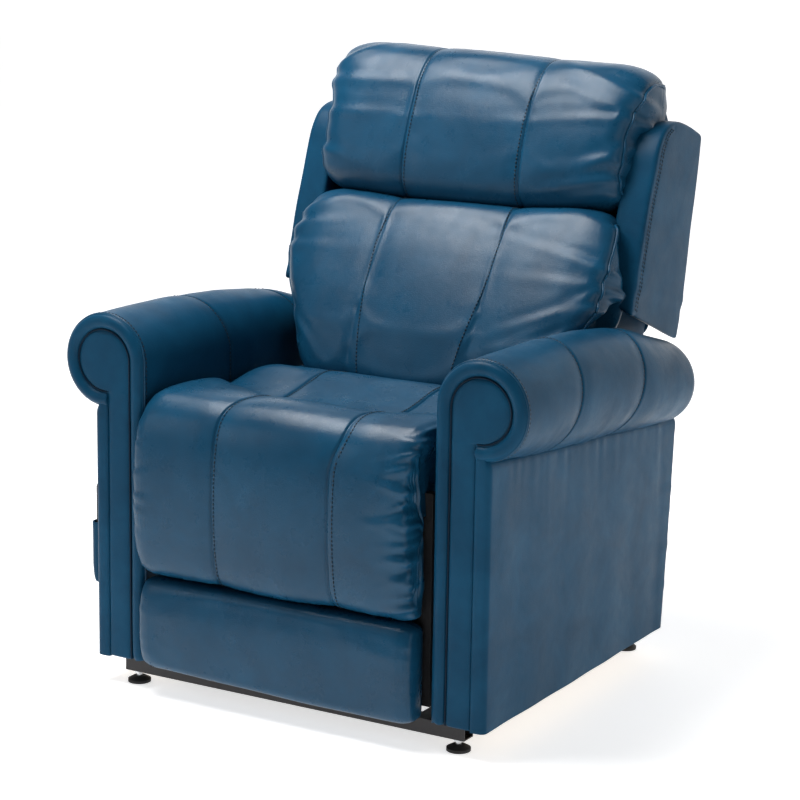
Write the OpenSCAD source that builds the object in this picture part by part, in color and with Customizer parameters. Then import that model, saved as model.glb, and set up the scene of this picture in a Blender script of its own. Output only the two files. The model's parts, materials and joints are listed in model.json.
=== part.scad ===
// Lift recliner armchair: steel lift base, reclining back, powered footrest, rolled arms.
// Units: millimetres. The chair faces -Y, +Z is up, +X is the sitter's left hand.

/* [Overall] */
// Half distance between the inner faces of the two arms
arm_in = 282; // [281.5:0.1:283]
// Half width over the outer side panels
arm_out = 379; // [378:0.5:382]
// Radius of the rolled arm top
roll_r = 79; // [76:1:79]
// Height of the rolled arm's centre line
roll_z = 566; // [566:0.5:569]
// Backrest angle from the vertical at rest
back_a = 20.9; // [20.9:0.05:21.2]

/* [Base] */
// Height of the tube rails above the floor
rail_z = 21.6; // [20:0.1:23]
// Radius of a rubber foot
foot_r = 20; // [16:1:22]
// Half spacing of the feet across the chair
foot_x = 316; // [314:1:318]

/* [Handset] */
// Radius of a handset button
btn_r = 7; // [5:0.5:7.5]
// Length of the handset
handset_h = 172; // [165:1:174]

/* [Hidden] */
$fn = 48;
// pivots in the (y, z) plane
A = [-304, 82];
B = [92.1, 137.7];
C = [-114, 110];
D = [-332.2, 80.4];
T = [-273.4, 155.9];
G = [180, 95];
P1 = [-254, 220];
J = [-203.8, 371.9];
Q = [-362.1, 395];
BP = [86, 350];
K1 = [-235.9, 255.7];
K2 = [104.1, 300.3];
KR = [-226.9, 273.5];
TT = [-314.4, 141.1];
G2 = [60, 225];
lx = -70;
rx = 70;
gap = 0.05;

navy = [0.13, 0.29, 0.42];
black = [0.12, 0.11, 0.12];
steel = [0.72, 0.73, 0.75];
wood = [0.72, 0.56, 0.36];
dark = [0.07, 0.07, 0.08];

function ang(p, q) = atan2(q[1] - p[1], q[0] - p[0]);
function dst(p, q) = sqrt((q[0] - p[0]) * (q[0] - p[0]) + (q[1] - p[1]) * (q[1] - p[1]));

// both sides
module pair() { children(); mirror([1, 0, 0]) children(); }
// extrudes a (y, z) outline from x = a to x = b
module slab(a, b) {
  translate([a, 0, 0]) rotate([90, 0, 90]) linear_extrude(height = b - a) children();
}
// cylinder along x at a (y, z) point
module xcyl(p, r, a, b) {
  translate([a, p[0], p[1]]) rotate([0, 90, 0]) cylinder(r = r, h = b - a);
}
// flat link bar outline between two pivots
module bar2d(p, q, w) {
  translate(p) circle(r = w);
  translate(q) circle(r = w);
  translate(p) rotate([0, 0, ang(p, q)]) translate([0, 0.6 - w]) square([dst(p, q), 2 * w - 1.2]);
}
module link(p, q, w, a, b, rp, rq) {
  difference() {
    slab(a, b) bar2d(p, q, w);
    xcyl(p, rp, a - 1, b + 1);
    xcyl(q, rq, a - 1, b + 1);
  }
}
// places children along the line from p to q, z along the line
module along(p, q, x) {
  translate([x, p[0], p[1]]) rotate([ang(p, q) - 90, 0, 0]) children();
}
// backrest frame: y to the rear, z up along the back
module inback() { translate([0, 130, 643]) rotate([-back_a, 0, 0]) children(); }
// back outline extrusion along x in the backrest frame
module bslab(a, b) { inback() slab(a, b) children(); }
module hpin(p, r, a, b, rh, th) {
  xcyl(p, r, a, b);
  xcyl(p, rh, a - th, a);
  xcyl(p, rh, b, b + th);
}

// ---- base ----
module tube_x(a, b, y0, y1, z0, z1, t) {
  difference() {
    translate([a, y0, z0]) cube([b - a, y1 - y0, z1 - z0]);
    translate([a - 1, y0 + t, z0 + t]) cube([b - a + 2, y1 - y0 - 2 * t, z1 - z0 - 2 * t]);
  }
}
module base_front_rail() {
  color(black) difference() {
    tube_x(-334, 334, -402, -372, rail_z, 46, 2);
    pair() translate([foot_x, -387, 10]) cylinder(r = 5.05, h = 40);
  }
}
module base_rear_rail() {
  color(black) difference() {
    tube_x(-331, 331, 227, 257, rail_z, 46, 2);
    pair() translate([foot_x, 242, 10]) cylinder(r = 5.05, h = 40);
  }
}
module base_side_rails() {
  color(black) pair() difference() {
    translate([240, -372, rail_z]) cube([30, 599, 46 - rail_z]);
    translate([242, -373, rail_z + 2]) cube([26, 601, 42 - rail_z]);
  }
}
module foot_pads() {
  color(dark) pair() for (y = [-387, 242]) translate([foot_x, y, 0]) difference() {
    union() {
      cylinder(r = foot_r, h = 5);
      translate([0, 0, 5]) cylinder(r1 = foot_r, r2 = 11, h = 5);
    }
    translate([0, 0, 5]) cylinder(r = 5.05, h = 10);
  }
}
module foot_studs() {
  color(steel) pair() for (y = [-387, 242]) translate([foot_x, y, 5]) cylinder(r = 5, h = 38);
}
module foot_jam_nuts() {
  color(steel) pair() for (y = [-387, 242]) translate([foot_x, y, rail_z - 6]) difference() {
    cylinder(r = 9, h = 5.9, $fn = 6);
    translate([0, 0, -1]) cylinder(r = 5.05, h = 9);
  }
}
module base_pivot_brackets() {
  color(black) pair() difference() {
    slab(244, 250) polygon([[-352, 46], [-278, 46], [-288, 96], [-304, 100], [-334, 98], [-346, 90]]);
    xcyl(A, 6, 240, 256);
    xcyl(D, 6, 240, 256);
  }
}
module base_pivot_pins() {
  color(steel) pair() {
    hpin(A, 5.95, 243.5, 262.5, 9, 2.5);
    hpin(D, 5.95, 229.5, 250.2, 9, 2.5);
  }
}
module lift_motor_bracket() {
  color(black) for (x = [lx - 22, lx + 17]) difference() {
    slab(x, x + 5) polygon([[227, 46], [257, 46], [250, 62], [196, 110], [166, 110], [166, 82]]);
    xcyl(G, 6, x - 1, x + 6);
  }
  color(steel) hpin(G, 5.95, lx - 22.2, lx + 22.2, 9, 3);
}
module power_box() {
  color(dark) difference() {
    translate([110, 160, 24]) cube([90, 66.9, 42]);
    translate([199, 190, 45]) rotate([0, 90, 0]) cylinder(r = 6, h = 5);
  }
}
module power_inlet() {
  color(dark) translate([199, 190, 45]) rotate([0, 90, 0]) difference() {
    union() {
      cylinder(r = 6, h = 16);
      translate([0, 0, 1]) cylinder(r = 9, h = 5);
    }
    translate([0, 0, 6]) cylinder(r = 3.2, h = 12);
  }
}

// ---- lift linkage ----
module lift_links() {
  color(black) pair() difference() {
    slab(256, 262) union() {
      bar2d(A, B, 17);
      polygon([[-321, 82], [-330, 136], [-326, 150], [-314, 157], [-302, 153], [-262, 100]]);
    }
    xcyl(A, 6, 250, 270);
    xcyl(B, 6, 250, 270);
    xcyl(TT, 12, 250, 270);
  }
}
module lift_torque_tube() {
  color(black) {
    difference() {
      xcyl(TT, 12, -262, 262);
      xcyl(TT, 9.5, -263, 263);
    }
    for (x = [lx - 17, lx + 12]) difference() {
      slab(x, x + 5) bar2d(TT, T, 15);
      xcyl(TT, 12, x - 1, x + 6);
      xcyl(T, 6, x - 1, x + 6);
    }
  }
}
module lift_clevis_pin() {
  color(steel) hpin(T, 5.95, lx - 17.2, lx + 17.2, 9, 2.5);
}
module control_links() {
  color(black) pair() link(D, C, 12, 231, 237, 6, 6.9);
}
module lift_motor() {
  color(dark) along(G, T, lx) difference() {
    union() {
      translate([-11, -16, 14]) cube([22, 32, 70]);
      translate([0, 0, 30]) cylinder(r = 24, h = 60);
      translate([-11, 0, 0]) rotate([0, 90, 0]) cylinder(r = 13, h = 22);
      translate([-11, -13, 0]) cube([22, 26, 20]);
    }
    translate([-12, 0, 0]) rotate([0, 90, 0]) cylinder(r = 6, h = 24);
    translate([0, 0, 80]) cylinder(r = 17, h = 20);
  }
}
module lift_outer_tube() {
  color(steel) along(G, T, lx) translate([0, 0, 80]) difference() {
    cylinder(r = 17, h = 260);
    translate([0, 0, 10]) cylinder(r = 11, h = 260);
  }
}
module lift_ram() {
  color(steel) along(G, T, lx) difference() {
    union() {
      translate([0, 0, 165]) cylinder(r = 10.95, h = 280);
      translate([-11, 0, dst(G, T)]) rotate([0, 90, 0]) cylinder(r = 17, h = 22);
    }
    translate([-12, 0, dst(G, T)]) rotate([0, 90, 0]) cylinder(r = 10.4, h = 24);
  }
}

// ---- chassis ----
module side_plates() {
  color(black) pair() difference() {
    slab(268, 274) polygon([[-290, 196], [-284, 250], [-205, 412], [-205, 437], [66, 437],
      [112, 392], [124, 340], [124, 116], [66, 112], [20, 196], [-40, 236], [-120, 176], [-270, 188]]);
    xcyl(B, 6, 260, 280);
    xcyl(BP, 8, 260, 280);
    xcyl(P1, 8, 260, 280);
  }
}
module chassis_cross_tubes() {
  color(black) difference() {
    union() {
      xcyl([-110, 200], 12, -268, 268);
      xcyl([92, 205], 12, -268, 268);
    }
    xcyl([-110, 200], 9.5, -269, 269);
    xcyl([92, 205], 9.5, -269, 269);
  }
}
module chassis_hangers() {
  color(black) {
    pair() difference() {
      slab(222, 227) bar2d([-110, 200], C, 16);
      xcyl([-110, 200], 12, 220, 230);
      xcyl(C, 6, 220, 230);
    }
    for (x = [rx - 22, rx + 17]) difference() {
      slab(x, x + 5) bar2d([92, 205], G2, 15);
      xcyl([92, 205], 12, x - 1, x + 6);
      xcyl(G2, 6, x - 1, x + 6);
    }
  }
}
module chassis_pins() {
  color(steel) {
    pair() {
      hpin(B, 5.95, 255, 274.2, 9, 2.5);
      hpin(C, 5.95, 221.8, 238, 9.5, 2.5);
      hpin(BP, 7.95, 255, 274.2, 12, 2.5);
      xcyl(P1, 7.95, 240, 276.5);
    }
    hpin(G2, 5.95, rx - 22.2, rx + 22.2, 9, 2.5);
  }
}
module arm_spacers() {
  color(steel) pair() {
    for (p = [[-190, 400], [-60, 420], [-140, 250], [60, 400], [108, 180]])
      xcyl(p, 8, 274, arm_in);
  }
}
module seat_frame() {
  color(black) {
    pair() tube_y(243, 268, -320, 66, 412, 437, 2);
    tube_x(-242.8, 242.8, -320, -295, 412, 437, 2);
    tube_x(-242.8, 242.8, 20, 45, 412, 437, 2);
  }
}
module tube_y(a, b, y0, y1, z0, z1, t) {
  difference() {
    translate([a, y0, z0]) cube([b - a, y1 - y0, z1 - z0]);
    translate([a + t, y0 - 1, z0 + t]) cube([b - a - 2 * t, y1 - y0 + 2, z1 - z0 - 2 * t]);
  }
}
// serpentine spring outline of n turns, pitch p, half width w, wire t
module zig(n, p, w, t) {
  for (i = [0 : n - 1]) {
    translate([i * p, -w]) square([t, 2 * w]);
    if (i < n - 1) translate([i * p, (i % 2 == 0) ? w - t : -w]) square([p + t, t]);
  }
}
module seat_springs() {
  color(steel) for (x = [-180, -90, 0, 90, 180])
    translate([x, -308, 437]) rotate([0, 0, 90]) linear_extrude(height = 3.6) zig(14, 25.5, 24, 3.6);
}
module seat_cushion() {
  color(navy) slab(-278, 278)
    polygon([[-331, 441], [40, 441], [40, 488], [30, 495], [-50, 497], [-90, 512], [-331, 520]]);
}
module seat_front_roll() {
  color(navy) slab(-275, 275)
    polygon([[-332, 441], [-386, 441], [-449, 503], [-446, 512], [-436, 518], [-420, 520.5], [-332, 520]]);
}

// ---- arms ----
module arm_frame() {
  color(wood) {
    translate([290, -404, 52]) cube([82, 20, 428]);
    translate([290, 226, 52]) cube([82, 20, 360]);
    translate([290, -383.8, 52]) cube([82, 609.6, 18]);
    translate([291, -383.8, 414]) cube([24, 600, 18]);
    translate([348, -383.8, 400]) cube([24, 609.6, 18]);
  }
}
module arm_frame_left() { arm_frame(); }
module arm_frame_right() { mirror([1, 0, 0]) arm_frame(); }
module arm_roll() {
  color(navy) difference() {
    union() {
      translate([361, -60, roll_z]) rotate([90, 0, 0]) cylinder(r = roll_r, h = 345);
      translate([361, -60, roll_z]) sphere(r = roll_r);
      translate([361, -60, roll_z]) rotate([-102.5, 0, 0]) cylinder(r1 = roll_r, r2 = 70, h = 281);
      translate([361, -60, roll_z]) rotate([-102.5, 0, 0]) translate([0, 0, 281]) sphere(r = 70);
    }
  }
}
module arm_roll_left() { arm_roll(); }
module arm_roll_right() { mirror([1, 0, 0]) arm_roll(); }
module arm_outer_panels() {
  color(navy) pair() slab(arm_out - 6.5, arm_out)
    polygon([[-405, 48], [260, 48], [276, 243], [286, 400], [262, 414], [215, 430], [-60, 484], [-405, 484]]);
}
module arm_inner_panels() {
  color(navy) pair() slab(arm_in, arm_in + 7.5)
    polygon([[-405, 48], [258, 48], [262, 408], [215, 452], [-60, 516], [-80, 524], [-405, 526]]);
}
module keyhole(r, x0, x1, z0) {
  translate([361, roll_z]) circle(r = r);
  translate([x0, z0]) square([x1 - x0, roll_z - z0]);
}
module arm_front() {
  color(navy) translate([0, -405, 0]) rotate([90, 0, 0]) linear_extrude(height = 16)
    keyhole(roll_r, arm_in, arm_out, 48);
}
module arm_front_left() { arm_front(); }
module arm_front_right() { mirror([1, 0, 0]) arm_front(); }
module arm_front_insets() {
  color(navy) pair() translate([0, -421, 0]) rotate([90, 0, 0]) linear_extrude(height = 3)
    keyhole(48, 304, 353, 50);
}
module handset_pocket() {
  color(navy) difference() {
    translate([-arm_out - 30, -400, 162]) cube([29.9, 102, 113]);
    translate([-arm_out - 27, -397, 166]) cube([25, 96, 120]);
  }
}
module handset_body() {
  color(dark) difference() {
    translate([-arm_out - 25, -393, 170]) cube([21, 48, handset_h]);
    translate([-arm_out - 26, -369, 322]) rotate([0, 90, 0]) cylinder(r = btn_r + 0.3, h = 7);
    translate([-arm_out - 26, -369, 300]) rotate([0, 90, 0]) cylinder(r = btn_r + 0.3, h = 7);
    translate([-arm_out - 14, -369, 169]) cylinder(r = 3.2, h = 8);
  }
}
module hbtn(z) {
  color(steel) translate([-arm_out - 27.5, -369, z]) rotate([0, 90, 0]) cylinder(r = btn_r, h = 6.5);
}
module handset_button_up() { hbtn(322); }
module handset_button_down() { hbtn(300); }
module rear_apron() {
  color(navy) translate([-280.5, 258.5, 52]) cube([561, 5, 208]);
}

// ---- backrest ----
module back_frame() {
  color(wood) inback() {
    pair() translate([232, 58, -236]) cube([22, 40, 640]);
    translate([-231.8, 58, 382]) cube([463.6, 40, 22]);
    translate([-231.8, 58, 150]) cube([463.6, 40, 22]);
    translate([-231.8, 58, -130]) cube([463.6, 40, 22]);
    pair() translate([254.2, 60, 40]) cube([44.6, 36, 22]);
    pair() translate([254.2, 60, 290]) cube([44.6, 36, 22]);
    pair() translate([234, 98.2, 110]) cube([20, 107.6, 20]);
    pair() translate([234, 98.2, 320]) cube([20, 107.6, 20]);
    pair() translate([234, 98.2, -100]) cube([20, 107.6, 20]);
  }
}
module back_brackets() {
  color(black) pair() difference() {
    union() {
      slab(256, 262) bar2d(BP, K2, 16);
      bslab(256, 262) polygon([[46, -306], [82, -306], [99, -236], [99, -110], [58, -110], [50, -236]]);
    }
    xcyl(BP, 8, 250, 270);
    xcyl(K2, 5, 250, 270);
  }
  color(steel) pair() {
    xcyl(K2, 4.95, 237.8, 262);
    xcyl(K2, 14, 235, 237.8);
  }
}
module back_springs() {
  color(steel) inback() for (z = [-60, 30, 110, 230, 320])
    translate([-228, 57.6, z]) rotate([90, 0, 0]) linear_extrude(height = 3.6) zig(16, 30, 16, 3.6);
}
module lumbar_cushion() {
  color(navy) {
    bslab(-270, 270) polygon([[-55, 158], [-70, 60], [-88, -40], [-108, -130], [-113, -162],
      [-106, -178], [-90, -184], [40, -130], [53, -110], [53, 158], [40, 166], [-42, 166]]);
    bslab(270, 312) polygon([[-50, 150], [-66, 60], [-74, 14], [-20, 8], [-14, 8], [-14, 158], [-40, 158]]);
    bslab(-312, -270) polygon([[-50, 150], [-66, 60], [-74, 14], [-20, 8], [-14, 8], [-14, 158], [-40, 158]]);
  }
}
module head_cushion() {
  color(navy) inback() {
    slab(-297, 297) polygon([[-58, 190], [-40, 170], [53, 170], [53, 406], [100, 406], [100, 438],
      [80, 446], [-20, 450], [-48, 436], [-62, 400]]);
    pair() slab(297, 312) polygon([[-54, 196], [-36, 178], [-15, 178], [-15, 345], [-54, 345]]);
    pair() slab(297, 330) polygon([[-54, 346], [18, 346], [56, 359.5], [90, 362], [90, 420], [60, 434],
      [-20, 436], [-44, 424]]);
  }
}
module wing() {
  color(navy) bslab(299, 354)
    polygon([[4, 0], [214, 0], [212, 60], [158, 364], [58, 358], [22, 345], [-4, 320],
             [-13, 285], [-12, 150]]);
}
module wing_left() { wing(); }
module wing_right() { mirror([1, 0, 0]) wing(); }
module back_outer_panel() {
  color(navy) inback() {
    translate([-298.5, 206, 0]) cube([597, 8, 340]);
    translate([-268, 206, -150]) cube([536, 8, 150]);
  }
}

// ---- footrest ----
module footrest_drive_tube() {
  color(black) {
    difference() {
      xcyl(P1, 12, -262, 262);
      xcyl(P1, 8, -263, 263);
    }
    pair() difference() {
      slab(228, 234) bar2d(P1, K1, 14);
      xcyl(P1, 12, 226, 236);
      xcyl(K1, 5, 226, 236);
    }
    for (x = [rx - 17, rx + 12]) difference() {
      slab(x, x + 5) bar2d(P1, KR, 15);
      xcyl(P1, 12, x - 1, x + 6);
      xcyl(KR, 6, x - 1, x + 6);
    }
  }
  color(steel) {
    pair() xcyl(K1, 4.95, 228, 244.5);
    pair() xcyl(K1, 8, 244.5, 245.5);
    hpin(KR, 5.95, rx - 17.2, rx + 17.2, 9, 2.5);
  }
}
module footrest_drive_links() {
  color(black) pair() link(P1, J, 13, 256, 262, 12, 6);
  color(steel) pair() hpin(J, 5.95, 245, 262.2, 9, 2);
}
module footrest_lift_links() {
  color(black) pair() link(J, Q, 11.2, 246, 252, 6, 6);
}
module footrest_board() {
  color(wood) translate([-262, -389, 62]) cube([524, 15, 353]);
}
module footrest_brackets() {
  color(black) pair() {
    difference() {
      slab(256, 262) union() {
        translate(Q) circle(r = 11);
        polygon([[-374, 380], [-374, 412], [-362, 406], [-362, 384]]);
        translate([-374, 300]) square([4, 110]);
      }
      xcyl(Q, 6, 250, 270);
    }
    translate([236, -374, 300]) cube([20, 4, 60]);
  }
  color(steel) pair() hpin(Q, 5.95, 244.8, 262.2, 9, 1.8);
}
module footrest_upper_pad() {
  color(navy) slab(-275, 275)
    polygon([[-390, 216], [-430, 216], [-446, 226], [-451, 240], [-451, 425], [-390, 425]]);
}
module footrest_lower_pad() {
  color(navy) slab(-270, 270)
    polygon([[-390, 58], [-432, 58], [-442, 66], [-446, 80], [-446, 200], [-438, 210], [-426, 214], [-390, 214]]);
}

// ---- recline drive ----
module back_drive_rods() {
  color(black) pair() difference() {
    slab(238.2, 244) union() {
      bar2d(K1, K2, 9);
      translate(K2) circle(r = 16);
    }
    xcyl(K1, 5, 236, 246);
    xcyl(K2, 10.6, 236, 246);
  }
}
module recline_motor() {
  color(dark) along(G2, KR, rx) difference() {
    union() {
      translate([-11, -13, 0]) cube([22, 26, 24]);
      translate([-11, 0, 0]) rotate([0, 90, 0]) cylinder(r = 13, h = 22);
      translate([0, 0, 22]) cylinder(r = 22, h = 56);
    }
    translate([-12, 0, 0]) rotate([0, 90, 0]) cylinder(r = 6, h = 24);
    translate([0, 0, 68]) cylinder(r = 16, h = 20);
  }
}
module recline_outer_tube() {
  color(steel) along(G2, KR, rx) translate([0, 0, 68]) difference() {
    cylinder(r = 16, h = 140);
    translate([0, 0, 8]) cylinder(r = 10, h = 140);
  }
}
module recline_ram() {
  color(steel) along(G2, KR, rx) difference() {
    union() {
      translate([0, 0, 90]) cylinder(r = 9.95, h = 190);
      translate([-11, 0, dst(G2, KR)]) rotate([0, 90, 0]) cylinder(r = 17, h = 22);
    }
    translate([-12, 0, dst(G2, KR)]) rotate([0, 90, 0]) cylinder(r = 10.6, h = 24);
  }
}

base_front_rail();
base_rear_rail();
base_side_rails();
foot_pads();
foot_studs();
foot_jam_nuts();
base_pivot_brackets();
base_pivot_pins();
lift_motor_bracket();
power_box();
power_inlet();
lift_links();
lift_torque_tube();
lift_clevis_pin();
control_links();
lift_motor();
lift_outer_tube();
lift_ram();
side_plates();
chassis_cross_tubes();
chassis_hangers();
chassis_pins();
arm_spacers();
seat_frame();
seat_springs();
seat_cushion();
seat_front_roll();
arm_frame_left();
arm_frame_right();
arm_roll_left();
arm_roll_right();
arm_outer_panels();
arm_inner_panels();
arm_front_left();
arm_front_right();
arm_front_insets();
handset_pocket();
handset_body();
handset_button_up();
handset_button_down();
rear_apron();
back_frame();
back_brackets();
back_springs();
lumbar_cushion();
head_cushion();
wing_left();
wing_right();
back_outer_panel();
footrest_drive_tube();
footrest_drive_links();
footrest_lift_links();
footrest_board();
footrest_brackets();
footrest_upper_pad();
footrest_lower_pad();
back_drive_rods();
recline_motor();
recline_outer_tube();
recline_ram();
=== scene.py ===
import bmesh
import bpy
import json
import math
import numpy as np
from mathutils import Matrix, Vector
from mathutils.kdtree import KDTree


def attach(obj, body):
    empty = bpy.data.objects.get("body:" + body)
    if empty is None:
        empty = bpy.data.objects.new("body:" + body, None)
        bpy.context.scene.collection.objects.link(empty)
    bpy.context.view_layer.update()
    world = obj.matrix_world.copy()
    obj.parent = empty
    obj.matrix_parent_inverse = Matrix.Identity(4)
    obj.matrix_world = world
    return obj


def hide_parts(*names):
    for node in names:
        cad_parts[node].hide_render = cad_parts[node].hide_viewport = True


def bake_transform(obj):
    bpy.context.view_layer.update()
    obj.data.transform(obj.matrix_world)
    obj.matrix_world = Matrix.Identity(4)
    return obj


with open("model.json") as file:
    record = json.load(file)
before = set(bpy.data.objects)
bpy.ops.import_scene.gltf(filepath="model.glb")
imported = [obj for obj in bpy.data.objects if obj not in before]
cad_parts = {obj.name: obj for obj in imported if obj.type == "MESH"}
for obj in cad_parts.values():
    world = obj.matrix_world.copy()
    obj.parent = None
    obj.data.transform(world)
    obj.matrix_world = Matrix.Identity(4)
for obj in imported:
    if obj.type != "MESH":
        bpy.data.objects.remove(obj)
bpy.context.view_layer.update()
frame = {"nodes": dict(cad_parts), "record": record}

# ------------------------------------------------------------------ sizes (metres)
AIN, AOUT = .282, .379              # the arm's inner and outer face
RX, RZ, RR = .361, .566, .079       # the arm roll's centre and radius
YF = -.421                          # the arm's front face
ROLL_SEAMS = (-.186, .060)          # the two seams across the arm roll
SEAM = .119                         # the seams between the cushions' three channels
SEAMS = (-SEAM, SEAM)
BACK_FRAME = np.array(Matrix.Translation((0, .130, .643)) @ Matrix.Rotation(math.radians(-20.9), 4, "X"))
CUT = ((-.449, .462), (-.392, .436))    # the line on which the chaise pad parts when the footrest opens
NAVY = ((.0040, .045, .095), (.0050, .056, .116), (.0068, .070, .142))
NAVY_PANEL = ((.0035, .039, .084), (.0045, .050, .106), (.0062, .062, .128))
# near-black tones that paint the shadow in the groove round the arm front's inset, laid on a real piping welt
NAVY_GAP_SHADE = ((.001, .010, .024), (.0016, .013, .030), (.002, .017, .038))


def unit(v):
    return v / np.maximum(np.linalg.norm(v, axis=-1, keepdims=True), 1e-12)


def link(name, data):
    """A new object in the scene."""
    o = bpy.data.objects.new(name, data)
    bpy.context.scene.collection.objects.link(o)
    return o


def to_back(p):
    """Places points given in the backrest's own frame."""
    return np.asarray(p, float) @ BACK_FRAME[:3, :3].T + BACK_FRAME[:3, 3]


# ------------------------------------------------------------------ materials
def nodes_of(name):
    """A new material with its node tree and its shader."""
    m = bpy.data.materials.new(name)
    m.use_nodes = True
    nt = m.node_tree
    nt.nodes.clear()
    out = nt.nodes.new("ShaderNodeOutputMaterial")
    b = nt.nodes.new("ShaderNodeBsdfPrincipled")
    nt.links.new(b.outputs[0], out.inputs[0])
    return m, nt, b


def noise_tex(nt, scale, detail=4, rough=.55, distort=0.0):
    tc = nt.nodes.new("ShaderNodeTexCoord")
    n = nt.nodes.new("ShaderNodeTexNoise")
    for socket, value in zip(("Scale", "Detail", "Roughness", "Distortion"), (scale, detail, rough, distort)):
        n.inputs[socket].default_value = value
    nt.links.new(tc.outputs["Object"], n.inputs["Vector"])
    return n


def ramp(nt, src, stops):
    r = nt.nodes.new("ShaderNodeValToRGB")
    while len(r.color_ramp.elements) < len(stops):
        r.color_ramp.elements.new(.5)
    for e, (p, c) in zip(r.color_ramp.elements, stops):
        e.position = p
        e.color = (*c, 1) if len(c) == 3 else c
    nt.links.new(src, r.inputs[0])
    return r


def bump_chain(nt, b, layers):
    last = None
    for src, strength, dist in layers:
        bu = nt.nodes.new("ShaderNodeBump")
        bu.inputs["Strength"].default_value = strength
        bu.inputs["Distance"].default_value = dist
        nt.links.new(src, bu.inputs["Height"])
        if last is not None:
            nt.links.new(last.outputs[0], bu.inputs["Normal"])
        last = bu
    nt.links.new(last.outputs[0], b.inputs["Normal"])


def map_range(nt, src, from_min, from_max, to_min=0, to_max=1):
    """Maps one range of values onto another."""
    r = nt.nodes.new("ShaderNodeMapRange")
    limits = {"From Min": from_min, "From Max": from_max, "To Min": to_min, "To Max": to_max}
    for socket, value in limits.items():
        r.inputs[socket].default_value = value
    nt.links.new(src, r.inputs["Value"])
    return r


def leather(name, tones=NAVY, rough=.30, spec=.24):
    """Grained leather in three tones: dark, middle and light."""
    m, nt, b = nodes_of(name)
    cloud = ramp(nt, noise_tex(nt, 9, 5, .6, .6).outputs["Fac"], list(zip((.30, .52, .74), tones)))
    fleck = ramp(nt, noise_tex(nt, 55, 4, .6).outputs["Fac"], [(.35, (.80, .83, .85)), (.65, (1, 1, 1))])
    mix = nt.nodes.new("ShaderNodeMix")
    mix.data_type = "RGBA"
    mix.blend_type = "MULTIPLY"
    mix.inputs["Factor"].default_value = .3
    nt.links.new(cloud.outputs[0], mix.inputs[6])
    nt.links.new(fleck.outputs[0], mix.inputs[7])
    nt.links.new(mix.outputs[2], b.inputs["Base Color"])
    sheen = map_range(nt, noise_tex(nt, 30, 4, .6).outputs["Fac"], .3, .7, rough - .06, rough + .07)
    nt.links.new(sheen.outputs[0], b.inputs["Roughness"])
    b.inputs["Specular IOR Level"].default_value = spec
    tc = nt.nodes.new("ShaderNodeTexCoord")
    grain = nt.nodes.new("ShaderNodeTexVoronoi")
    grain.feature = "F1"
    grain.inputs["Scale"].default_value = 520
    grain.inputs["Randomness"].default_value = .8
    nt.links.new(tc.outputs["Object"], grain.inputs["Vector"])
    pebble = map_range(nt, grain.outputs["Distance"], 0, .7)
    pores = noise_tex(nt, 210, 3, .6)
    swell = noise_tex(nt, 20, 2, .5)
    bump_chain(nt, b, [(swell.outputs["Fac"], .14, .0035), (pores.outputs["Fac"], .16, .0005),
                       (pebble.outputs[0], .30, .0004)])
    return m


def plain(name, col, rough, metal, var, scale, bump, dist, bump_scale):
    """One colour, varied a little, with a fine bump."""
    m, nt, b = nodes_of(name)
    n = noise_tex(nt, scale, 4, .6)
    tones = [tuple(min(1, c * f) for c in col) for f in (1 - var, 1 + var)]
    r = ramp(nt, n.outputs["Fac"], list(zip((.35, .65), tones)))
    nt.links.new(r.outputs[0], b.inputs["Base Color"])
    sheen = map_range(nt, n.outputs["Fac"], .3, .7, max(.03, rough - .07), rough + .07)
    nt.links.new(sheen.outputs[0], b.inputs["Roughness"])
    b.inputs["Metallic"].default_value = metal
    fine = noise_tex(nt, bump_scale, 3, .6)
    bump_chain(nt, b, [(fine.outputs["Fac"], bump, dist)])
    return m


def wood_mat(name):
    m, nt, b = nodes_of(name)
    tc = nt.nodes.new("ShaderNodeTexCoord")
    mp = nt.nodes.new("ShaderNodeMapping")
    mp.inputs["Scale"].default_value = (18, 18, 2.2)
    nt.links.new(tc.outputs["Object"], mp.inputs["Vector"])
    w = nt.nodes.new("ShaderNodeTexNoise")
    w.inputs["Scale"].default_value = 5
    w.inputs["Detail"].default_value = 8
    w.inputs["Distortion"].default_value = 1.5
    nt.links.new(mp.outputs[0], w.inputs["Vector"])
    r = ramp(nt, w.outputs["Fac"], [(.3, (.36, .27, .17)), (.55, (.50, .39, .26)), (.75, (.60, .49, .35))])
    nt.links.new(r.outputs[0], b.inputs["Base Color"])
    b.inputs["Roughness"].default_value = .62
    bump_chain(nt, b, [(w.outputs["Fac"], .25, .0008)])
    return m


LEATHER = leather("leather_navy")
LEATHER_DK = leather("leather_navy_panel", NAVY_PANEL, .42, .07)
# leather for the piping round the arm insets, near-black as painted shade of the groove
LEATHER_GAP_SHADE = leather("leather_navy_gap_shade", NAVY_GAP_SHADE, .40, .10)
LEATHER_ARM = leather("leather_navy_arm", rough=.36, spec=.08)
THREAD = plain("thread_navy", (.003, .010, .020), .7, 0, .2, 300, .3, .0002, 2500)
POWDER = plain("powder_black", (.022, .020, .021), .48, .25, .18, 60, .3, .0003, 1800)
ZINC = plain("zinc_plate", (.62, .63, .64), .28, 1.0, .08, 50, .1, .0002, 900)
ALU = plain("aluminium_tube", (.66, .67, .69), .33, 1.0, .06, 35, .12, .0002, 1200)
PLAST = plain("plastic_black", (.018, .018, .020), .42, 0, .15, 80, .35, .0003, 2200)
RUBBER = plain("rubber_black", (.014, .014, .014), .7, 0, .2, 90, .4, .0004, 1500)
BTN = plain("button_grey", (.30, .31, .33), .5, 0, .08, 100, .2, .0002, 1500)
WOOD = wood_mat("plywood")
CAMBRIC = plain("dust_cloth_black", (.012, .012, .014), .85, 0, .25, 420, .5, .0004, 2600)


def set_mat(o, m):
    o.data.materials.clear()
    o.data.materials.append(m)


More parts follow.
